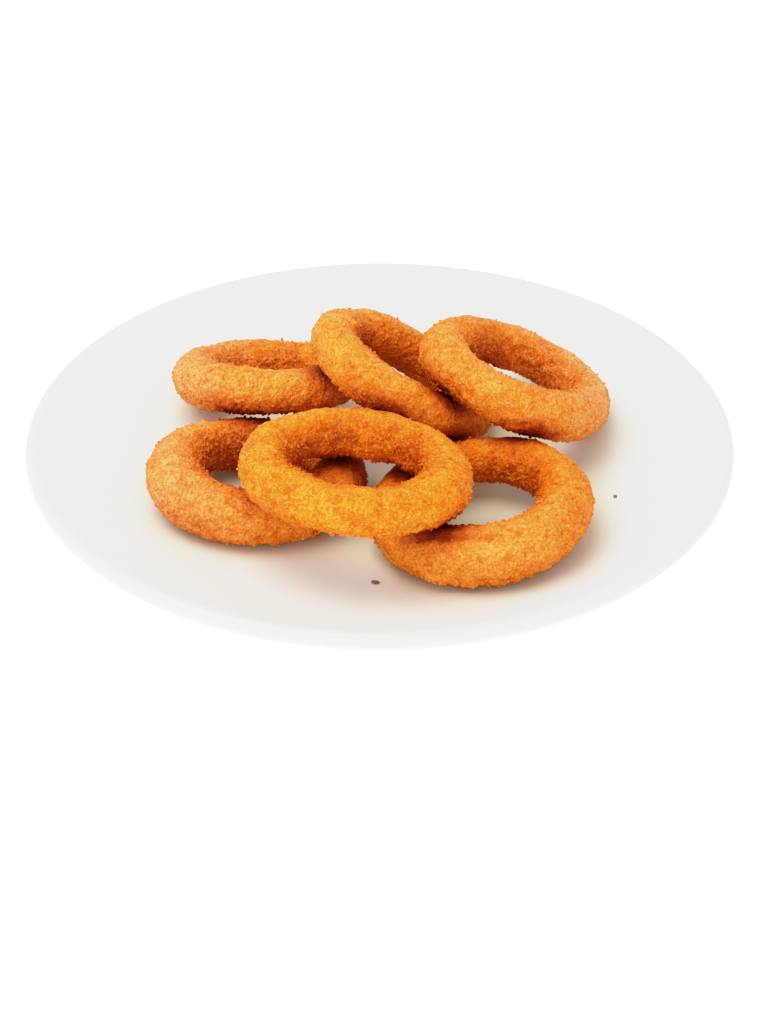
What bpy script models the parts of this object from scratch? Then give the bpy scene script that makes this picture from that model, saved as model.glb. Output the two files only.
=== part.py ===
"""Six fried, crumbed onion rings lying on a shallow white coupe plate.

Metres, +Z up. The origin is the middle of the plate at the level its foot stands on,
+X runs to the right and +Y away from the viewer.
"""
import math
from dataclasses import dataclass

import bpy
from mathutils import Euler, Vector, noise
from mathutils.bvhtree import BVHTree

MM = 0.001

# Plate: one glazed piece, turned about Z
PLATE_RADIUS = 132.5 * MM
RIM_HEIGHT = 20 * MM            # level of the top of the rim
RIM_DEPTH = 6.5 * MM            # height of the rounded outer edge
RIM_ROUND = 3 * MM              # how far that edge bulges out
WELL_HEIGHT = 6 * MM            # level of the eating surface at the middle
DISH_POWER = 3.0                # flat in the middle, steeper towards the rim
WALL = 4.5 * MM
FOOT_RADIUS = 72 * MM
FOOT_WIDTH = 5 * MM
FOOT_FLAT = 3 * MM              # width of the ring that the plate stands on
PLATE_SEGMENTS = 72
TOP_STEPS = 7
TOP_CROWDING = 0.8              # below 1, the steps are closer together towards the rim
RIM_STEPS = 6
UNDER_STEPS = 3
MERGE_DISTANCE = 0.05 * MM      # joins the turned profile's ends on its axis
GLAZE_COLOR = (0.86, 0.87, 0.85)
GLAZE_ROUGHNESS = 0.12
GLAZE_COAT = 0.5

# Crust: lumps that swell the ring along its length, and crags on its skin
RING_SEGMENTS = 54
TUBE_SEGMENTS = 15
LUMP_LENGTH = 16 * MM
LUMP_HEIGHT = 1.1 * MM
CRAG_LENGTH = 4.5 * MM
CRAG_HEIGHT = 1.0 * MM
SEED_SPACING = 17.3             # how far apart in the noise two rings are read
NOISE_START = (5.1, 9.7)
CRAG_SEED = 10                  # keeps the crags apart from the lumps
CRUST_COLOR = (0.80, 0.38, 0.09)
CRUST_ROUGHNESS = 0.7

# Gap kept between two pieces that rest on each other
REST_GAP = 0.3 * MM
DROP_FROM = 70 * MM
DROP_PRECISION = 0.01 * MM


@dataclass
class Ring:
    """One onion ring: where it lies and how it differs from the others."""
    name: str
    x: float                    # middle of the ring on the plate
    y: float
    radius: float               # middle of the hole to the middle of the crust
    crust: float                # half the thickness of the crusted strip
    back_up: float              # degrees by which its back is lifted
    left_up: float              # degrees by which its left is lifted
    oval: float = 0             # how much longer and narrower than a circle
    oval_turn: float = 0        # degrees from +X to its long way
    wave: float = 0             # how far its edge rises and falls out of its plane
    swell: float = 0            # how much thicker the crust is on one side
    swell_turn: float = -90     # degrees from +X to that side
    seed: int = 0


# In the order in which they are laid down: each rests on the plate or on earlier ones
RINGS = (
    Ring("ring_front_left", x=-44 * MM, y=-38.5 * MM, radius=28 * MM, crust=10 * MM,
         back_up=-3, left_up=5, oval=2 * MM, oval_turn=20, wave=1.5 * MM,
         swell=0.5 * MM, seed=4),
    Ring("ring_front_right", x=35 * MM, y=-61.5 * MM, radius=30.7 * MM, crust=9.6 * MM,
         back_up=-3, left_up=-6, oval=1 * MM, oval_turn=80, swell=1 * MM, seed=6),
    Ring("ring_back_left", x=-42.5 * MM, y=18.6 * MM, radius=26.5 * MM, crust=9.3 * MM,
         back_up=-18.5, left_up=-1, oval=3 * MM, oval_turn=-35, swell=0.8 * MM,
         swell_turn=140, seed=12),
    Ring("ring_back_middle", x=9.5 * MM, y=8 * MM, radius=31 * MM, crust=9.2 * MM,
         back_up=-9, left_up=32, oval=3 * MM, oval_turn=48, seed=2),
    Ring("ring_back_right", x=51.7 * MM, y=7.5 * MM, radius=31.2 * MM, crust=9 * MM,
         back_up=-8.5, left_up=25, oval=4 * MM, oval_turn=50, seed=3),
    Ring("ring_front_middle", x=-8.3 * MM, y=-68 * MM, radius=29.5 * MM, crust=8.9 * MM,
         back_up=-5, left_up=3, oval=2 * MM, oval_turn=-20, seed=16),
)


def clear_scene():
    for thing in list(bpy.data.objects):
        bpy.data.objects.remove(thing, do_unlink=True)


def principled(name, color, roughness, coat=0.0):
    material = bpy.data.materials.new(name)
    material.use_nodes = True
    shader = material.node_tree.nodes["Principled BSDF"]
    shader.inputs["Base Color"].default_value = (*color, 1.0)
    shader.inputs["Roughness"].default_value = roughness
    shader.inputs["Metallic"].default_value = 0.0
    shader.inputs["Coat Weight"].default_value = coat
    return material


def dish_height(radius):
    """Level of the eating surface at a distance from the middle."""
    share = radius / (PLATE_RADIUS - RIM_ROUND)
    return WELL_HEIGHT + (RIM_HEIGHT - WELL_HEIGHT) * share ** DISH_POWER


def plate_profile():
    """Half section of the plate, from the middle of its top round the rim to the middle below."""
    inner = PLATE_RADIUS - RIM_ROUND
    points = []
    for step in range(TOP_STEPS):
        radius = inner * (step / TOP_STEPS) ** TOP_CROWDING
        points.append((radius, dish_height(radius)))
    for step in range(RIM_STEPS + 1):
        angle = math.pi * (0.5 - step / RIM_STEPS)
        points.append((inner + RIM_ROUND * math.cos(angle),
                       RIM_HEIGHT + RIM_DEPTH / 2 * (math.sin(angle) - 1)))
    for step in range(1, UNDER_STEPS + 1):
        radius = inner + (FOOT_RADIUS + FOOT_WIDTH / 2 - inner) * step / UNDER_STEPS
        rim_share = 1 - step / UNDER_STEPS
        thickness = WALL + (RIM_DEPTH - WALL) * rim_share
        points.append((radius, dish_height(radius) - thickness))
    points.append((FOOT_RADIUS + FOOT_FLAT / 2, 0))
    points.append((FOOT_RADIUS - FOOT_FLAT / 2, 0))
    inside = FOOT_RADIUS - FOOT_WIDTH / 2
    points.append((inside, dish_height(inside) - WALL))
    points.append((inside / 2, dish_height(inside / 2) - WALL))
    points.append((0, WELL_HEIGHT - WALL))
    return points


def make_plate():
    profile = plate_profile()
    mesh = bpy.data.meshes.new("plate")
    mesh.from_pydata([(radius, 0, height) for radius, height in profile],
                     [(i, i + 1) for i in range(len(profile) - 1)], [])
    plate = bpy.data.objects.new("plate", mesh)
    bpy.context.collection.objects.link(plate)
    screw = plate.modifiers.new("turn", "SCREW")
    screw.axis = "Z"
    screw.angle = math.tau
    screw.steps = PLATE_SEGMENTS
    screw.render_steps = PLATE_SEGMENTS
    screw.use_merge_vertices = True
    screw.merge_threshold = MERGE_DISTANCE
    screw.use_smooth_shade = True
    mesh.materials.append(principled("plate_glaze", GLAZE_COLOR, GLAZE_ROUGHNESS, GLAZE_COAT))
    return plate


def smooth_noise(point, length, seed):
    """Noise from -1 to 1 whose bumps are about one length wide."""
    return noise.noise(Vector(point) / length + Vector((SEED_SPACING * seed, *NOISE_START)))


def shape_ring(mesh, ring):
    """Turns an even torus into this ring: oval, wavy, lumpy along its length and craggy all over."""
    for vertex in mesh.vertices:
        around = math.atan2(vertex.co.y, vertex.co.x)
        out = Vector((math.cos(around), math.sin(around), 0))
        middle = out * ring.radius
        across = vertex.co - middle
        lump = LUMP_HEIGHT * smooth_noise(middle, LUMP_LENGTH, ring.seed)
        swell = ring.swell * math.cos(around - math.radians(ring.swell_turn))
        thickness = 1 + (lump + swell) / ring.crust
        crag = smooth_noise(vertex.co, CRAG_LENGTH, ring.seed + CRAG_SEED)
        stretch = ring.oval * math.cos(2 * (around - math.radians(ring.oval_turn)))
        rise = ring.wave * math.cos(2 * around)
        vertex.co = (middle + out * stretch + Vector((0, 0, rise))
                     + across * thickness + across.normalized() * CRAG_HEIGHT * crag)


def make_ring(ring):
    bpy.ops.mesh.primitive_torus_add(
        major_segments=RING_SEGMENTS, minor_segments=TUBE_SEGMENTS,
        major_radius=ring.radius, minor_radius=ring.crust)
    thing = bpy.context.object
    thing.name = ring.name
    thing.data.name = ring.name
    shape_ring(thing.data, ring)
    thing.data.shade_smooth()
    thing.data.materials.append(principled(ring.name + "_crust", CRUST_COLOR, CRUST_ROUGHNESS))
    thing.rotation_euler = Euler((math.radians(ring.back_up), math.radians(ring.left_up), 0))
    return thing


class Solid:
    """A piece in place, for telling when another comes near it."""

    def __init__(self, corners, faces):
        middles = [sum((corners[i] for i in face), Vector()) / len(face) for face in faces]
        self.points = corners + middles
        self.tree = BVHTree.FromPolygons(corners, faces)

    def is_near(self, points):
        return any(self.tree.find_nearest(point, REST_GAP)[0] for point in points)

    def meets(self, other):
        """Whether the pieces cross, or come within REST_GAP by their corners and face middles."""
        if self.tree.overlap(other.tree):
            return True
        return self.is_near(other.points) or other.is_near(self.points)


def world_shape(thing, lift=0):
    """A piece as it stands, modifiers included, raised by a lift."""
    shown = thing.evaluated_get(bpy.context.evaluated_depsgraph_get())
    mesh = shown.to_mesh()
    raise_by = Vector((0, 0, lift))
    corners = [thing.matrix_world @ vertex.co + raise_by for vertex in mesh.vertices]
    faces = [tuple(polygon.vertices) for polygon in mesh.polygons]
    shown.to_mesh_clear()
    return Solid(corners, faces)


def settle(thing, ring, placed):
    """Lowers a ring over its place until it is REST_GAP clear of what carries it."""
    thing.location = (ring.x, ring.y, 0)
    bpy.context.view_layer.update()
    lift = DROP_FROM
    step = ring.crust / 2
    while step > DROP_PRECISION:
        lowered = world_shape(thing, lift - step)
        if any(lowered.meets(other) for other in placed):
            step /= 2
        else:
            lift -= step
    thing.location.z = lift
    bpy.context.view_layer.update()


def build():
    clear_scene()
    plate = make_plate()
    bpy.context.view_layer.update()
    placed = [world_shape(plate)]
    for ring in RINGS:
        thing = make_ring(ring)
        settle(thing, ring, placed)
        placed.append(world_shape(thing))


build()
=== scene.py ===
"""Looks of the part: six fried, crumbed onion rings on a glazed white plate, in soft light."""
import math
from dataclasses import dataclass

import bmesh
import bpy
import numpy as np
from mathutils import Euler, Matrix, Vector, kdtree, noise
from mathutils.bvhtree import BVHTree


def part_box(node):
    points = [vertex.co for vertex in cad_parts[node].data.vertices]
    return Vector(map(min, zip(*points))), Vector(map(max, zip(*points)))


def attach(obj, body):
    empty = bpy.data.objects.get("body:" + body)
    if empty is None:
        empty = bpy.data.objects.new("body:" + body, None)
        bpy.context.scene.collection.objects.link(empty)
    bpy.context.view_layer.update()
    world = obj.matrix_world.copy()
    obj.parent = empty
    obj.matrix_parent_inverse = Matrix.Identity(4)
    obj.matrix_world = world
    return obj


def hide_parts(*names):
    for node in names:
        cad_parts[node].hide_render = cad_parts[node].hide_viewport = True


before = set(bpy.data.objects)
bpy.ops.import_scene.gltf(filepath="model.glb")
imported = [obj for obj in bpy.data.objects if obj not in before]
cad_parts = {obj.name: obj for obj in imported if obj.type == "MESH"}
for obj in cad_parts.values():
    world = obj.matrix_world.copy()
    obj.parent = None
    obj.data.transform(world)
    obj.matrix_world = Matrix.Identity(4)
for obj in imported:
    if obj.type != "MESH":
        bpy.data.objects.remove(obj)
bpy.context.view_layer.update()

MM = 0.001

# Camera: where the photograph was taken from, and where it has the middle of the plate's rim
PHOTO_WIDTH = 768
PHOTO_HEIGHT = 1024
CAMERA_DISTANCE = 0.65
CAMERA_ELEVATION = math.radians(31.53)
FOCAL_PIXELS = 1718
RIM_MIDDLE_PIXEL = (379.7, 418.2)
SENSOR = 36.0
CLIP_NEAR = 0.01
CLIP_FAR = 50

# Film: between black and FILM_WHITE, what is shown for the brightness that arrives
FILM_WHITE = 1.6
FILM_CURVE = ((0.03, 0.018), (0.1, 0.09), (0.3, 0.3), (0.6, 0.62), (0.85, 0.81), (1.1, 0.865),
              (1.3, 0.9))
FILM_ALL_COLORS = 3             # the curve that acts on red, green and blue alike

# Light and floor
WORLD_STRENGTH = 0.8
KEY_PLACE = (-0.35, -0.05, 0.9)
KEY_SIZE = (0.8, 0.8)
KEY_POWER = 6.5
FILL_PLACE = (0.1, -0.95, 0.5)
FILL_SIZE = (0.8, 0.5)
FILL_POWER = 2.8
WHITE = (1, 1, 1, 1)
FLOOR_REACH = 6.0
FLOOR_COLORS = ((250, 250, 250), (252, 252, 252))
FLOOR_PATCH = 20 * MM
FLOOR_ROUGHNESS = 0.9
FLOOR_GLOW = 0.7

# Plate
PLATE_SEGMENTS = 256
DISH_STEPS = 48
RIM_STEPS = 16
UNDER_STEPS = 16
BASE_STEPS = 8
RIM_DEPTH = 6.5 * MM
RIM_ROUND = 3 * MM
WELL_HEIGHT = 6 * MM
DISH_POWER = 3.0
WALL = 4.5 * MM
FOOT_RADIUS = 72 * MM
FOOT_WIDTH = 5 * MM
FOOT_FLAT = 3 * MM
FOOT_BEVEL = 0.15 * MM
SHARP_EDGE = math.radians(50)

# Glaze
GLAZE_COLORS = ((226, 228, 222), (230, 231, 226))
GLAZE_PATCH = 35 * MM
GLAZE_WAVE = 0.6 * MM
GLAZE_WAVE_STRENGTH = 0.5
GLAZE_FINE = 2.5 * MM
GLAZE_ROUGHNESS = (0.16, 0.24)
GLAZE_SPECULAR = 0.2
GLAZE_COAT = 0.2
GLAZE_COAT_ROUGHNESS = 0.1
GLAZE_SPECK = 0.9 * MM
GLAZE_SPECK_COLOR = (214, 213, 208)
BOUNCE_REACH = 40 * MM             # painted warm light bounced from the rings tints the glaze where rings this near surround it
BOUNCE_DIRECTIONS = 16
BOUNCE_RISE = 0.7                  # slope at which those directions look up at the rings
# Tint of the painted light bounced from the rings
BOUNCE_TINT = (255, 250, 218)

# Smooth form of a ring
MERGE_DISTANCE = 0.01 * MM
PAIR_ANGLE = math.radians(60)   # triangles that meet within this are joined in pairs
ROUNDING_LEVELS = 2
SKIN_FACE = 0.52 * MM           # side of a face of the finished crust
SKIN_SINK = 0.2 * MM            # the skin lies this far in, so that grains stand out to true size

# Grains and crags
GRAIN_SPACING = 0.85 * MM
GRAIN_HEIGHT = 0.42 * MM
GRAIN_SIZES = (0.15, 1.0)       # shares of that height
GRAIN_CREASE = 0.14 * MM
CREASE_WIDTH = 0.35             # share of the spacing
CRAG_LENGTH = 3.0 * MM
CRAG_HEIGHT = 0.38 * MM
ROUGH_LENGTH = 3 * CRAG_LENGTH
ROUGH_CHANGE = 0.5              # how much rougher and smoother patches differ from the rest
EDGE_ROUGHNESS = 0.9            # how much rougher the crust is below than on top
HOLE_ROUGHNESS = 0.7            # and where it faces the ring's hole
RELIEF_RANGE = 0.9 * MM         # from the deepest creases to the highest grains

# Separate crumbs that stick to the skin
CRUMBS_PER_RING = 2000
CRUMB_RADIUS = (0.28 * MM, 0.75 * MM)
CRUMB_OUT = 0.35                # share of its radius by which a crumb's middle stands off the skin
CRUMB_KINDS = 12
CRUMB_CORNERS = (0.65, 1.25)    # how far a crumb's corners stand from its middle, in radii
CRUMB_STRETCH = (0.6, 1.3)      # how long it is along each of its own axes, in radii
CRUMB_PEAK = 0.8                # a crumb is coloured like skin this high in the relief, 0 to 1
CRUMBS_ON_TOP = 0.35            # how thickly they lie on top; the underside has 1 more
CRUMBS_ON_RIDGES = 8.0          # and how much more on a raised edge

# Frying: dark and pale parts of the crust, and painted shade where it faces the hole or faces down
TOAST_LENGTH = 13 * MM
TOAST_CHANGE = 0.26             # how much its large patches differ
FINE_TOAST_LENGTH = TOAST_LENGTH / 3
FINE_TOAST_CHANGE = 0.2
HOLE_SHADE = 0.40             # how much darker the crust is painted where it faces the ring's hole, as painted shade
UNDER_SHADE = 0.2               # and where it faces down, as painted shade under the ring
PALE_LENGTH = TOAST_LENGTH / 2
PALE_CHANGE = 0.12
PALE_SLOPE = 1.4                # how quickly the crust turns pale towards its palest side
PALE_START = 0.1                # and how far from its middle that begins
PALE_IN_SHADE = 0.5            # how much less pale the hole and the underside are, for their painted shade
TOUCH_REACH = 11 * MM           # another ring closer than this darkens the crust with painted shade

# What is added to a ring's seed for each kind of patch
ROUGH_SEED = 30
TOAST_SEED = 40
FINE_TOAST_SEED = 50
PALE_SEED = 60
SEED_STEP = (7.1, 3.7)          # how far apart in the noise two seeds are read
NOISE_START = 2.9

# Crust colours, each with where on its scale it belongs
FRIED = ((0.05, (254, 166, 60)), (0.35, (250, 151, 42)), (0.60, (238, 130, 24)),
         (0.95, (194, 90, 8)))
TAN = ((0.10, (254, 182, 120)), (0.50, (248, 161, 90)), (0.90, (220, 119, 44)))
SHADE_COLOR = (244, 206, 150)
# Painted shade in the creases of the relief
CREASE_SHADE_COLOR = (176, 74, 6)
SPECK_COLOR = (200, 92, 12)
# Painted shade near another ring, and darker painted shade in the gaps between rings
CONTACT_SHADE_COLOR = (190, 120, 70)
GAP_SHADE_COLOR = (128, 70, 34)
LIGHT_GOLDEN = (255, 196, 84)
LIGHT_PALE = (255, 206, 132)

# Where one colour gives way to another: value with none of it, value with most, and that most
TANNED = (0.05, 1.0, 1.0)
DARK_CELLS = (0.52, 0.25, 0.85)
LIGHT_CELLS = (0.62, 0.8, 0.3)
DARK_GRAINS = (0.4, 0.0, 0.5)
LIGHT_GRAINS = (0.92, 0.98, 0.3)
# painted shade in the creases of the relief
IN_CREASE_SHADE = (0.42, 0.0, 0.55)
IN_SPECKS = (0.58, 0.7, 0.45)
# painted shade near another ring and in the gaps between rings
IN_CONTACT_SHADE = (0.05, 0.9, 1.0)
IN_GAP_SHADE = (0.5, 0.9, 0.85)
IN_GLAZE_SPECKS = (0.76, 0.80, 0.25)
# painted warm light bounced from the rings onto the glaze
IN_GLAZE_BOUNCE = (0.15, 0.9, 1.0)
IN_FALLEN_PATCHES = (0.35, 0.65, 1.0)

# Crust surface
CELL_SIZE = 0.6 * MM            # grains that are only coloured and bumped
CELL_BUMP = 0.28 * MM
CELL_STRENGTH = 0.9
SPECK_LENGTH = 0.55 * MM
SPECK_BUMP = 0.22 * MM
SPECK_STRENGTH = 0.7
NOISE_RANGE = (0.3, 0.7)        # where most values of the noise texture lie
CRUST_ROUGHNESS = (0.5, 0.7)
CRUST_SPECULAR = 0.22

# Crumbs that have fallen on the plate
FALLEN_COLORS = ((104, 82, 60), (158, 126, 92))
FALLEN_PATCH = 0.7 * MM
FALLEN_FINE = 0.3 * MM
FALLEN_BUMP = 0.1 * MM
FALLEN_ROUGHNESS = 0.8
FALLEN_LUMPS = ((0.35, 1.7), (0.15, 5.3))   # height and number of lumps along a crumb
FALLEN_MIDDLE = 0.42            # level of a crumb's middle, as a share of its height
FALLEN_DETAIL = 3               # times that a crumb's faces are split


@dataclass
class Crust:
    """How one ring's crust differs from the others."""
    node: str
    slot: str
    seed: int
    toast: float                # how dark it is fried, 0 to 1
    pale: float                 # how pale it is all over, 0 to 1
    pale_side: tuple            # direction of its palest side, seen from its middle
    pale_gain: float            # how much paler that side is


CRUSTS = (
    Crust("ring_back_left", "crust_pale", 11, 0.35, 0.22, (-1.0, 0.2, 0.0), 0.85),
    Crust("ring_back_middle", "crust_golden", 12, 0.38, 0.20, (-0.5, 0.8, 0.2), 0.40),
    Crust("ring_back_right", "crust_pale", 13, 0.35, 0.22, (0.9, 0.3, 0.0), 0.80),
    Crust("ring_front_left", "crust_pale", 14, 0.54, 0.22, (-0.9, -0.2, 0.0), 0.60),
    Crust("ring_front_middle", "crust_golden", 15, 0.41, 0.00, (0.0, 1.0, 0.0), 0.10),
    Crust("ring_front_right", "crust_golden", 16, 0.45, 0.15, (0.3, -0.9, 0.0), 0.25),
)


@dataclass
class Ridge:
    """A raised edge of crust, or with a negative height a crease, between two places."""
    node: str
    start: tuple                # millimetres
    end: tuple                  # millimetres
    width: float
    height: float


RIDGES = (
    Ridge("ring_front_left", (-51.5, -67.0, 30.2), (-45.8, -71.3, 28.0), 1.3 * MM, 1.7 * MM),
    Ridge("ring_front_left", (-45.0, -70.0, 28.5), (-40.0, -70.5, 26.5), 1.2 * MM, 1.5 * MM),
    Ridge("ring_front_left", (-52.0, -69.5, 29.5), (-44.0, -73.5, 26.5), 1.0 * MM, -0.8 * MM),
    Ridge("ring_front_right", (6.5, -87.7, 26.2), (22.8, -94.6, 32.3), 1.8 * MM, -0.4 * MM),
    Ridge("ring_front_right", (22.8, -94.6, 32.3), (36.0, -96.0, 34.0), 1.8 * MM, -0.4 * MM),
    Ridge("ring_front_right", (36.0, -96.0, 34.0), (46.0, -93.8, 34.6), 1.5 * MM, -0.3 * MM),
    Ridge("ring_front_right", (14.0, -98.0, 17.5), (20.0, -100.5, 16.5), 2.0 * MM, 2.2 * MM),
    Ridge("ring_front_right", (28.0, -102.5, 16.0), (31.0, -102.6, 15.5), 1.8 * MM, 2.2 * MM),
    Ridge("ring_front_right", (40.0, -103.0, 17.0), (46.0, -101.5, 17.0), 1.5 * MM, 1.3 * MM),
)


@dataclass
class FallenCrumb:
    """A crumb that has fallen on the plate."""
    x: float
    y: float
    size: tuple                 # length, width and height
    turn: float                 # degrees from +X to its long way


FALLEN_CRUMBS = (
    FallenCrumb(-1.5 * MM, -91.4 * MM, (3.0 * MM, 1.6 * MM, 1.1 * MM), -12),
    FallenCrumb(85.1 * MM, -40.7 * MM, (1.6 * MM, 1.3 * MM, 1.0 * MM), 35),
)


def display(color):
    """A colour as it shows on a screen, from 0 to 255, turned into the light values of a shader."""
    def light(value):
        share = value / 255
        return share / 12.92 if share <= 0.04045 else ((share + 0.055) / 1.055) ** 2.4
    return (*map(light, color), 1.0)


def new_object(name, data):
    thing = bpy.data.objects.new(name, data)
    bpy.context.scene.collection.objects.link(thing)
    return thing


def evaluated_mesh(thing):
    shown = thing.evaluated_get(bpy.context.evaluated_depsgraph_get())
    return bpy.data.meshes.new_from_object(shown)


def vertex_places(mesh):
    places = np.empty(len(mesh.vertices) * 3)
    mesh.vertices.foreach_get("co", places)
    return places.reshape(-1, 3)


def vertex_normals(mesh):
    normals = np.empty(len(mesh.vertices) * 3)
    mesh.vertex_normals.foreach_get("vector", normals)
    return normals.reshape(-1, 3)


def move_vertices(mesh, places):
    mesh.vertices.foreach_set("co", places.astype(np.float32).ravel())
    mesh.update()


def store(mesh, name, values):
    attribute = mesh.attributes.new(name, "FLOAT", "POINT")
    attribute.data.foreach_set("value", values.astype(np.float32))


def smooth_ring(node):
    """The ring's solid without its flat faces: a finer, rounder mesh of the same form."""
    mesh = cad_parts[node].data.copy()
    shape = bmesh.new()
    shape.from_mesh(mesh)
    bmesh.ops.remove_doubles(shape, verts=shape.verts, dist=MERGE_DISTANCE)
    bmesh.ops.join_triangles(shape, faces=shape.faces, angle_face_threshold=PAIR_ANGLE,
                             angle_shape_threshold=PAIR_ANGLE)
    shape.to_mesh(mesh)
    shape.free()
    thing = new_object("smooth", mesh)
    rounding = thing.modifiers.new("rounding", "SUBSURF")
    rounding.levels = ROUNDING_LEVELS
    smooth = evaluated_mesh(thing)
    bpy.data.objects.remove(thing)
    return smooth


def skin_of(smooth):
    """The ring's skin as small even faces, a little inside its true size."""
    move_vertices(smooth, vertex_places(smooth) - vertex_normals(smooth) * SKIN_SINK)
    thing = new_object("skin", smooth)
    remesh = thing.modifiers.new("even", "REMESH")
    remesh.mode = "VOXEL"
    remesh.voxel_size = SKIN_FACE
    remesh.adaptivity = 0
    skin = evaluated_mesh(thing)
    bpy.data.objects.remove(thing)
    return skin


def scatter_on(mesh, count, rng, favour):
    """Places spread over a mesh by area and favour, their normals, and a mesh point near each."""
    mesh.calc_loop_triangles()
    corners = np.array([tri.vertices for tri in mesh.loop_triangles])
    places = vertex_places(mesh)
    normals = vertex_normals(mesh)
    a, b, c = (places[corners[:, i]] for i in range(3))
    share = np.linalg.norm(np.cross(b - a, c - a), axis=1) * favour[corners[:, 0]]
    chosen = rng.choice(len(corners), count, p=share / share.sum())
    weights = rng.dirichlet((1, 1, 1), count)[:, :, None]
    return ((places[corners[chosen]] * weights).sum(1),
            (normals[corners[chosen]] * weights).sum(1),
            corners[chosen, 0])


def nearest_two(places, spots):
    """For each place the nearest spot's number, and the distances to the nearest two."""
    tree = kdtree.KDTree(len(spots))
    for i, spot in enumerate(spots):
        tree.insert(spot, i)
    tree.balance()
    number = np.empty(len(places), int)
    first = np.empty(len(places))
    second = np.empty(len(places))
    for i, place in enumerate(places):
        (_, number[i], first[i]), (_, _, second[i]) = tree.find_n(place, 2)
    return number, first, second


def noise_over(places, length, seed):
    """Smooth noise from about -1 to 1 whose patches are one length wide."""
    offset = Vector((seed * SEED_STEP[0], seed * SEED_STEP[1], NOISE_START))
    scaled = places / length
    return np.array([noise.noise(Vector(place) + offset) for place in scaled])


def facing_down(normals):
    """How far each place faces down, from 0 on top to 1 below."""
    return 0.5 - 0.5 * normals[:, 2]


def facing_hole(places, normals):
    """How squarely each place of a ring faces its own hole, 0 to 1."""
    away = places - places.mean(0)
    axis = np.linalg.svd(away, full_matrices=False)[2][2]
    outward = away - np.outer(away @ axis, axis)
    outward /= np.linalg.norm(outward, axis=1)[:, None]
    return np.clip(-(normals * outward).sum(1), 0, 1)


def ridge_share(ridge, places):
    """How much each place belongs to a ridge, 0 to 1."""
    start = np.array(ridge.start) * MM
    along = np.array(ridge.end) * MM - start
    share = np.clip((places - start) @ along / (along @ along), 0, 1)
    distance = np.linalg.norm(places - start - share[:, None] * along, axis=1)
    return np.exp(-(distance / ridge.width) ** 2)


def grain_relief(skin, crust, inside, rng):
    """Height of the crust's grains, crags and ridges over the skin, and each grain's own value."""
    places = vertex_places(skin)
    area = sum(polygon.area for polygon in skin.polygons)
    count = int(area / GRAIN_SPACING ** 2)
    spots, _, _ = scatter_on(skin, count, rng, np.ones(len(places)))
    grain, near, next_near = nearest_two(places, spots)
    size = rng.uniform(*GRAIN_SIZES, count)[grain]
    dome = np.clip(1 - (near / GRAIN_SPACING) ** 2, 0, 1)
    crease = 1 - np.clip((next_near - near) / (CREASE_WIDTH * GRAIN_SPACING), 0, 1)
    rough = 1 + EDGE_ROUGHNESS * facing_down(vertex_normals(skin)) + HOLE_ROUGHNESS * inside
    rough *= 1 + ROUGH_CHANGE * noise_over(places, ROUGH_LENGTH, crust.seed + ROUGH_SEED)
    height = rough * (GRAIN_HEIGHT * size * dome - GRAIN_CREASE * crease)
    height += CRAG_HEIGHT * rough * noise_over(places, CRAG_LENGTH, crust.seed)
    height -= height.mean()
    for ridge in RIDGES:
        if ridge.node == crust.node:
            height += ridge.height * ridge_share(ridge, places)
    return height, rng.random(count)[grain]


def crumb_shape(rng):
    """Corners and faces of one angular crumb of about unit radius."""
    shape = bmesh.new()
    bmesh.ops.create_icosphere(shape, subdivisions=1, radius=1)
    corners = np.array([vertex.co for vertex in shape.verts])
    faces = np.array([[vertex.index for vertex in face.verts] for face in shape.faces])
    shape.free()
    corners *= rng.uniform(*CRUMB_CORNERS, (len(corners), 1))
    corners *= rng.uniform(*CRUMB_STRETCH, (1, 3))
    return corners, faces


def random_turn(rng):
    return np.array(Euler(rng.uniform(0, math.tau, 3)).to_matrix())


def crumb_favour(crust, places, normals, inside):
    """How thickly separate crumbs lie at each place."""
    favour = CRUMBS_ON_TOP + facing_down(normals) + inside
    for ridge in RIDGES:
        if ridge.node == crust.node and ridge.height > 0:
            favour += CRUMBS_ON_RIDGES * ridge_share(ridge, places)
    return favour


def add_crumbs(skin, name, favour, rng):
    """The skin with separate angular crumbs stuck to it, and the skin point under each point."""
    kinds = [crumb_shape(rng) for _ in range(CRUMB_KINDS)]
    spots, normals, carriers = scatter_on(skin, CRUMBS_PER_RING, rng, favour)
    parts = [vertex_places(skin)]
    under = [np.arange(len(skin.vertices))]
    faces = [tuple(polygon.vertices) for polygon in skin.polygons]
    skin_faces = len(faces)
    start = len(skin.vertices)
    low, high = CRUMB_RADIUS
    for spot, normal, carrier in zip(spots, normals, carriers):
        corners, triangles = kinds[rng.integers(len(kinds))]
        radius = low + (high - low) * rng.random() ** 2
        parts.append(spot + normal * CRUMB_OUT * radius + radius * corners @ random_turn(rng))
        under.append(np.full(len(corners), carrier))
        faces.extend(map(tuple, triangles + start))
        start += len(corners)
    mesh = bpy.data.meshes.new(name)
    mesh.from_pydata(np.concatenate(parts), [], faces)
    smooth = np.arange(len(faces)) < skin_faces
    mesh.polygons.foreach_set("use_smooth", smooth)
    return mesh, np.concatenate(under)


def all_but(node):
    """The solids of every ring but one, or of all the rings where no ring is named."""
    corners = []
    faces = []
    for crust in CRUSTS:
        if crust.node != node:
            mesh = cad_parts[crust.node].data
            start = len(corners)
            faces.extend([start + i for i in polygon.vertices] for polygon in mesh.polygons)
            corners.extend(vertex.co.copy() for vertex in mesh.vertices)
    return BVHTree.FromPolygons(corners, faces)


def touching(places, node):
    """How close each place comes to another ring: 0 at TOUCH_REACH, 1 where they touch."""
    others = all_but(node)
    near = np.zeros(len(places))
    for i, place in enumerate(places):
        distance = others.find_nearest(place, TOUCH_REACH)[3]
        if distance is not None:
            near[i] = 1 - distance / TOUCH_REACH
    return near


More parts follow.
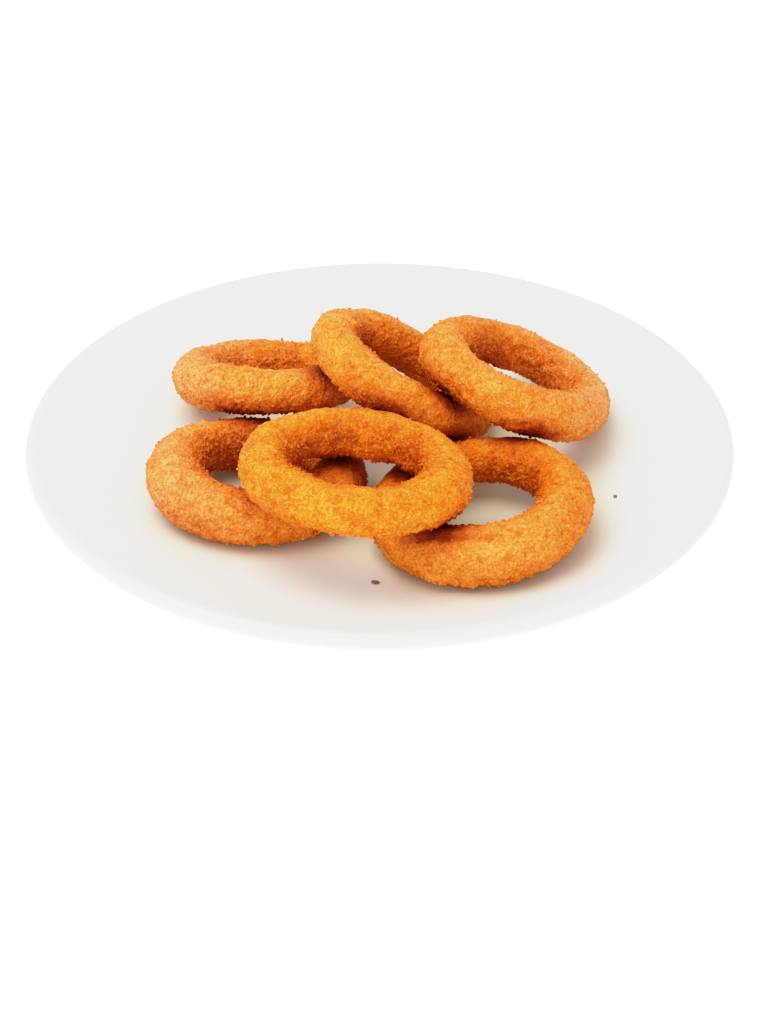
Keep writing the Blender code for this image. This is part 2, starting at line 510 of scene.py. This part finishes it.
def surrounded(places):
    """Share of the directions along the plate in which each place has a ring near."""
    rings = all_but(None)
    hits = np.zeros(len(places))
    for step in range(BOUNCE_DIRECTIONS):
        angle = math.tau * step / BOUNCE_DIRECTIONS
        along = Vector((math.cos(angle), math.sin(angle), BOUNCE_RISE))
        for i, place in enumerate(places):
            hits[i] += rings.ray_cast(place, along, BOUNCE_REACH)[0] is not None
    return hits / BOUNCE_DIRECTIONS


def store_frying(mesh, crust, hole_and_under_shade):
    """Stores how dark and how pale the crust is fried at each of its points, with the painted shade
    of the hole and the underside added to the darkness.
    """
    places = vertex_places(mesh)
    large = noise_over(places, TOAST_LENGTH, crust.seed + TOAST_SEED)
    fine = noise_over(places, FINE_TOAST_LENGTH, crust.seed + FINE_TOAST_SEED)
    # The darkness stored as toast holds real fried patches and painted shade in the hole and
    # underneath.
    store(mesh, "toast", crust.toast + TOAST_CHANGE * large + FINE_TOAST_CHANGE * fine + hole_and_under_shade)
    away = places - places.mean(0)
    side = away @ np.array(Vector(crust.pale_side).normalized())
    share = side / np.abs(side).max()
    patches = noise_over(places, PALE_LENGTH, crust.seed + PALE_SEED)
    store(mesh, "pale", crust.pale
          + crust.pale_gain * np.clip(share * PALE_SLOPE - PALE_START, 0, 1)
          + PALE_CHANGE * patches - PALE_IN_SHADE * hole_and_under_shade)


def crusted(crust, name, rng):
    """One ring's crust with its crumbs, and what its material reads stored at its points."""
    skin = skin_of(smooth_ring(crust.node))
    places = vertex_places(skin)
    normals = vertex_normals(skin)
    inside = facing_hole(places, normals)
    # Painted shade where the crust faces its own hole or faces down.
    hole_and_under_shade = HOLE_SHADE * inside + UNDER_SHADE * np.clip(-normals[:, 2], 0, 1)
    height, grain = grain_relief(skin, crust, inside, rng)
    move_vertices(skin, places + normals * height[:, None])
    touch = touching(places, crust.node)
    mesh, under = add_crumbs(skin, name, crumb_favour(crust, places, normals, inside), rng)
    crumb_points = len(mesh.vertices) - len(height)
    crumb_grain = np.repeat(rng.random(CRUMBS_PER_RING), crumb_points // CRUMBS_PER_RING)
    peak = np.concatenate((0.5 + height / RELIEF_RANGE, np.full(crumb_points, CRUMB_PEAK)))
    store(mesh, "touch", touch[under])
    store(mesh, "grain", np.concatenate((grain, crumb_grain)))
    store(mesh, "peak", np.clip(peak, 0, 1))
    store_frying(mesh, crust, hole_and_under_shade[under])
    bpy.data.meshes.remove(skin)
    return mesh


class Shader:
    """A material being built from nodes."""

    def __init__(self, name):
        self.material = bpy.data.materials.new(name)
        self.material.use_nodes = True
        self.tree = self.material.node_tree
        self.surface = self.tree.nodes["Principled BSDF"]

    def add(self, kind, **inputs):
        node = self.tree.nodes.new(kind)
        for name, value in inputs.items():
            self.put(node.inputs[name.replace("_", " ")], value)
        return node

    def put(self, socket, value):
        if isinstance(value, bpy.types.NodeSocket):
            self.tree.links.new(value, socket)
        else:
            socket.default_value = value

    def set_surface(self, name, value):
        """Sets a socket of the surface itself."""
        self.put(self.surface.inputs[name], value)

    def attribute(self, name):
        node = self.add("ShaderNodeAttribute")
        node.attribute_name = name
        return node.outputs["Fac"]

    def place(self):
        return self.add("ShaderNodeTexCoord").outputs["Object"]

    def noise(self, length, detail=2.0):
        node = self.add("ShaderNodeTexNoise", Vector=self.place(), Scale=1 / length,
                        Detail=detail)
        return node.outputs["Fac"]

    def ramp(self, factor, stops):
        """Colours between stops, each (position, colour)."""
        node = self.add("ShaderNodeValToRGB", Fac=factor)
        elements = node.color_ramp.elements
        while len(elements) < len(stops):
            elements.new(0.5)
        for element, (position, color) in zip(elements, stops):
            element.position = position
            element.color = display(color)
        return node.outputs["Color"]

    def mix(self, factor, first, second, blend="MIX"):
        node = self.tree.nodes.new("ShaderNodeMix")
        node.data_type = "RGBA"
        node.blend_type = blend
        node.clamp_factor = True
        self.put(node.inputs["Factor"], factor)
        self.put(node.inputs[6], first)
        self.put(node.inputs[7], second)
        return node.outputs[2]

    def darken(self, color, by):
        return self.mix(1.0, color, display(by), "MULTIPLY")

    def spread(self, value, low, high, to_low=0.0, to_high=1.0):
        """A value moved from one range to another and kept inside it."""
        node = self.add("ShaderNodeMapRange", Value=value)
        node.inputs["From Min"].default_value = low
        node.inputs["From Max"].default_value = high
        node.inputs["To Min"].default_value = to_low
        node.inputs["To Max"].default_value = to_high
        return node.outputs["Result"]

    def blend(self, color, other, value, giving_way):
        """A colour that gives way to another where a value says so."""
        none, most, amount = giving_way
        return self.mix(self.spread(value, none, most, 0.0, amount), color, other)

    def cells(self, size):
        """Grains about one size wide: a random value for each, and the distance from its middle."""
        node = self.add("ShaderNodeTexVoronoi", Vector=self.place(), Scale=1 / size)
        return node.outputs["Color"], node.outputs["Distance"]

    def bump(self, height, distance, strength=1.0, invert=False, normal=None):
        node = self.add("ShaderNodeBump", Height=height, Distance=distance, Strength=strength)
        node.invert = invert
        if normal is not None:
            self.put(node.inputs["Normal"], normal)
        return node.outputs["Normal"]


def crust_material(name, light_crumb):
    """Fried crumb: toasted and pale patches, grains of many shades and a fine rough skin, with
    painted shade in creases, in the hole, underneath and near other rings.
    """
    shader = Shader(name)
    grain = shader.attribute("grain")
    touch = shader.attribute("touch")
    # Toast holds the fried patches and the painted shade in the hole and underneath.
    toast = shader.attribute("toast")
    cell, middle = shader.cells(CELL_SIZE)
    speck = shader.noise(SPECK_LENGTH)
    color = shader.blend(shader.ramp(toast, FRIED), shader.ramp(toast, TAN),
                         shader.attribute("pale"), TANNED)
    shade = shader.darken(color, SHADE_COLOR)
    color = shader.blend(color, shade, cell, DARK_CELLS)
    color = shader.blend(color, display(light_crumb), cell, LIGHT_CELLS)
    color = shader.blend(color, shade, grain, DARK_GRAINS)
    color = shader.blend(color, display(light_crumb), grain, LIGHT_GRAINS)
    # Painted shade in the creases, where the relief is low.
    color = shader.blend(color, display(CREASE_SHADE_COLOR), shader.attribute("peak"), IN_CREASE_SHADE)
    color = shader.blend(color, display(SPECK_COLOR), speck, IN_SPECKS)
    # Painted shade where another ring lies near, darkest in the gaps between them.
    color = shader.blend(color, shader.darken(color, CONTACT_SHADE_COLOR), touch, IN_CONTACT_SHADE)
    color = shader.blend(color, shader.darken(color, GAP_SHADE_COLOR), touch, IN_GAP_SHADE)
    shader.set_surface("Base Color", color)
    shader.set_surface("Roughness", shader.spread(speck, *NOISE_RANGE, *CRUST_ROUGHNESS))
    grains = shader.bump(middle, CELL_BUMP, CELL_STRENGTH, invert=True)
    shader.set_surface("Normal", shader.bump(speck, SPECK_BUMP, SPECK_STRENGTH, normal=grains))
    shader.set_surface("Specular IOR Level", CRUST_SPECULAR)
    return shader.material


def make_ring(crust, material):
    name = crust.node + "_crumbed"
    mesh = crusted(crust, name, np.random.default_rng(crust.seed))
    mesh.materials.append(material)
    thing = new_object(name, mesh)
    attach(thing, "root")
    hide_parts(crust.node)


def dish_height(radius):
    """Level of the eating surface at a distance from the middle."""
    _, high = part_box("plate")
    share = radius / (high.x - RIM_ROUND)
    return WELL_HEIGHT + (high.z - WELL_HEIGHT) * share ** DISH_POWER


def plate_profile():
    """Half section of the plate, from the middle of its top round the rim to the middle below."""
    _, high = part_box("plate")
    inner = high.x - RIM_ROUND
    points = []
    for step in range(DISH_STEPS):
        radius = inner * step / DISH_STEPS
        points.append((radius, dish_height(radius)))
    for step in range(RIM_STEPS + 1):
        angle = math.pi * (0.5 - step / RIM_STEPS)
        points.append((inner + RIM_ROUND * math.cos(angle),
                       high.z + RIM_DEPTH / 2 * (math.sin(angle) - 1)))
    foot_outside = FOOT_RADIUS + FOOT_WIDTH / 2
    for step in range(1, UNDER_STEPS + 1):
        share = step / UNDER_STEPS
        radius = inner + (foot_outside - inner) * share
        thickness = RIM_DEPTH + (WALL - RIM_DEPTH) * share
        points.append((radius, dish_height(radius) - thickness))
    flat_outside = FOOT_RADIUS + FOOT_FLAT / 2
    flat_inside = FOOT_RADIUS - FOOT_FLAT / 2
    points.append((flat_outside, FOOT_BEVEL))
    points.append((flat_outside - FOOT_BEVEL, 0))
    points.append((flat_inside + FOOT_BEVEL, 0))
    points.append((flat_inside, FOOT_BEVEL))
    foot_inside = FOOT_RADIUS - FOOT_WIDTH / 2
    for step in range(BASE_STEPS + 1):
        radius = foot_inside * (1 - step / BASE_STEPS)
        points.append((radius, dish_height(radius) - WALL))
    return points


def turned(name, profile):
    """A closed mesh made by turning a profile about Z, from its middle above to its middle below."""
    rows = profile[1:-1]
    corners = [(0, 0, profile[0][1])]
    for radius, height in rows:
        for turn in range(PLATE_SEGMENTS):
            angle = math.tau * turn / PLATE_SEGMENTS
            corners.append((radius * math.cos(angle), radius * math.sin(angle), height))
    corners.append((0, 0, profile[-1][1]))
    faces = []
    for turn in range(PLATE_SEGMENTS):
        after = (turn + 1) % PLATE_SEGMENTS
        faces.append((0, 1 + turn, 1 + after))
        for row in range(len(rows) - 1):
            here = 1 + row * PLATE_SEGMENTS
            below = here + PLATE_SEGMENTS
            faces.append((here + turn, below + turn, below + after, here + after))
        last = 1 + (len(rows) - 1) * PLATE_SEGMENTS
        faces.append((last + turn, len(corners) - 1, last + after))
    mesh = bpy.data.meshes.new(name)
    mesh.from_pydata(corners, [], faces)
    mesh.shade_smooth()
    mesh.set_sharp_from_angle(angle=SHARP_EDGE)
    return mesh


def plate_material():
    """White glaze with faint specks, tinted a little among the rings by painted warm light bounced
    from them.
    """
    shader = Shader("white_glaze")
    wave = shader.noise(GLAZE_PATCH, detail=1.0)
    fine = shader.noise(GLAZE_FINE)
    speck = shader.noise(GLAZE_SPECK, detail=0.0)
    color = shader.mix(wave, *map(display, GLAZE_COLORS))
    color = shader.blend(color, display(GLAZE_SPECK_COLOR), speck, IN_GLAZE_SPECKS)
    # Painted warm light bounced from the rings onto the glaze around them.
    color = shader.blend(color, shader.darken(color, BOUNCE_TINT), shader.attribute("ring_bounce"),
                         IN_GLAZE_BOUNCE)
    shader.set_surface("Base Color", color)
    shader.set_surface("Roughness", shader.spread(fine, *NOISE_RANGE, *GLAZE_ROUGHNESS))
    shader.set_surface("Normal", shader.bump(wave, GLAZE_WAVE, GLAZE_WAVE_STRENGTH))
    shader.set_surface("Specular IOR Level", GLAZE_SPECULAR)
    shader.set_surface("Coat Weight", GLAZE_COAT)
    shader.set_surface("Coat Roughness", GLAZE_COAT_ROUGHNESS)
    return shader.material


def make_plate():
    mesh = turned("plate_glazed", plate_profile())
    top = vertex_normals(mesh)[:, 2] > 0
    # Painted warm bounce light on the top of the glaze where rings surround it.
    store(mesh, "ring_bounce", surrounded(vertex_places(mesh)) * top)
    mesh.materials.append(plate_material())
    plate = new_object("plate_glazed", mesh)
    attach(plate, "root")
    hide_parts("plate")


def fallen_material():
    shader = Shader("dark_crumb")
    dark, light = map(display, FALLEN_COLORS)
    color = shader.blend(dark, light, shader.noise(FALLEN_PATCH), IN_FALLEN_PATCHES)
    shader.set_surface("Base Color", color)
    shader.set_surface("Normal", shader.bump(shader.noise(FALLEN_FINE), FALLEN_BUMP))
    shader.set_surface("Roughness", FALLEN_ROUGHNESS)
    return shader.material


def make_plate_crumbs():
    """The crumbs that lie apart from the rings, as one joined mesh."""
    joined = bmesh.new()
    for crumb in FALLEN_CRUMBS:
        made = bmesh.ops.create_icosphere(joined, subdivisions=FALLEN_DETAIL, radius=0.5)["verts"]
        level = dish_height(math.hypot(crumb.x, crumb.y))
        turn = Matrix.Rotation(math.radians(crumb.turn), 3, "Z")
        middle = Vector((crumb.x, crumb.y, level + FALLEN_MIDDLE * crumb.size[2]))
        for vertex in made:
            place = vertex.co + Vector((crumb.x, crumb.y, 0)) / MM
            rough = 1
            for height, number in FALLEN_LUMPS:
                rough += height * noise.noise(place * number)
            shape = Vector(side * size for side, size in zip(vertex.co, crumb.size))
            vertex.co = middle + turn @ (shape * rough)
    mesh = bpy.data.meshes.new("plate_crumbs")
    joined.to_mesh(mesh)
    joined.free()
    mesh.shade_smooth()
    mesh.materials.append(fallen_material())
    crumbs = new_object("plate_crumbs", mesh)
    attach(crumbs, "root")


def make_floor():
    shader = Shader("pale_floor")
    color = shader.mix(shader.noise(FLOOR_PATCH), *map(display, FLOOR_COLORS))
    shader.set_surface("Base Color", color)
    shader.set_surface("Roughness", FLOOR_ROUGHNESS)
    shader.set_surface("Emission Color", WHITE)
    shader.set_surface("Emission Strength", FLOOR_GLOW)
    mesh = bpy.data.meshes.new("floor")
    mesh.from_pydata([(-FLOOR_REACH, -FLOOR_REACH, 0), (FLOOR_REACH, -FLOOR_REACH, 0),
                      (FLOOR_REACH, FLOOR_REACH, 0), (-FLOOR_REACH, FLOOR_REACH, 0)],
                     [], [(0, 1, 2, 3)])
    mesh.materials.append(shader.material)
    new_object("floor", mesh)


def area_light(name, place, size, power):
    """A white panel of light that faces the middle of the plate."""
    light = bpy.data.lights.new(name, "AREA")
    light.shape = "RECTANGLE"
    light.size, light.size_y = size
    light.energy = power
    thing = new_object(name, light)
    thing.location = place
    thing.rotation_euler = (-Vector(place)).to_track_quat("-Z", "Y").to_euler()


def make_light():
    world = bpy.data.worlds.new("studio")
    world.use_nodes = True
    background = world.node_tree.nodes["Background"]
    background.inputs["Color"].default_value = WHITE
    background.inputs["Strength"].default_value = WORLD_STRENGTH
    bpy.context.scene.world = world
    area_light("key", KEY_PLACE, KEY_SIZE, KEY_POWER)
    area_light("fill", FILL_PLACE, FILL_SIZE, FILL_POWER)


def make_film():
    view = bpy.context.scene.view_settings
    view.view_transform = "Standard"
    view.use_curve_mapping = True
    film = view.curve_mapping
    film.white_level = (FILM_WHITE, FILM_WHITE, FILM_WHITE)
    points = film.curves[FILM_ALL_COLORS].points
    for arriving, shown in FILM_CURVE:
        points.new(arriving / FILM_WHITE, shown)
    film.update()


def make_camera():
    _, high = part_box("plate")
    rim_middle = Vector((0, 0, high.z))
    camera = bpy.data.cameras.new("camera")
    camera.sensor_width = SENSOR
    camera.lens = FOCAL_PIXELS / PHOTO_HEIGHT * SENSOR
    camera.clip_start = CLIP_NEAR
    camera.clip_end = CLIP_FAR
    thing = new_object("camera", camera)
    thing.location = rim_middle + CAMERA_DISTANCE * Vector(
        (0, -math.cos(CAMERA_ELEVATION), math.sin(CAMERA_ELEVATION)))
    right = PHOTO_WIDTH / 2 - RIM_MIDDLE_PIXEL[0]
    down = PHOTO_HEIGHT / 2 - RIM_MIDDLE_PIXEL[1]
    pitch = CAMERA_ELEVATION + math.atan(down / FOCAL_PIXELS)
    yaw = math.atan(right / FOCAL_PIXELS) / math.cos(pitch)
    thing.rotation_euler = (math.radians(90) - pitch, 0, -yaw)
    bpy.context.scene.camera = thing


def build():
    make_camera()
    make_film()
    make_light()
    make_floor()
    make_plate()
    make_plate_crumbs()
    materials = {
        "crust_golden": crust_material("golden_crust", LIGHT_GOLDEN),
        "crust_pale": crust_material("pale_crust", LIGHT_PALE),
    }
    for crust in CRUSTS:
        make_ring(crust, materials[crust.slot])


build()
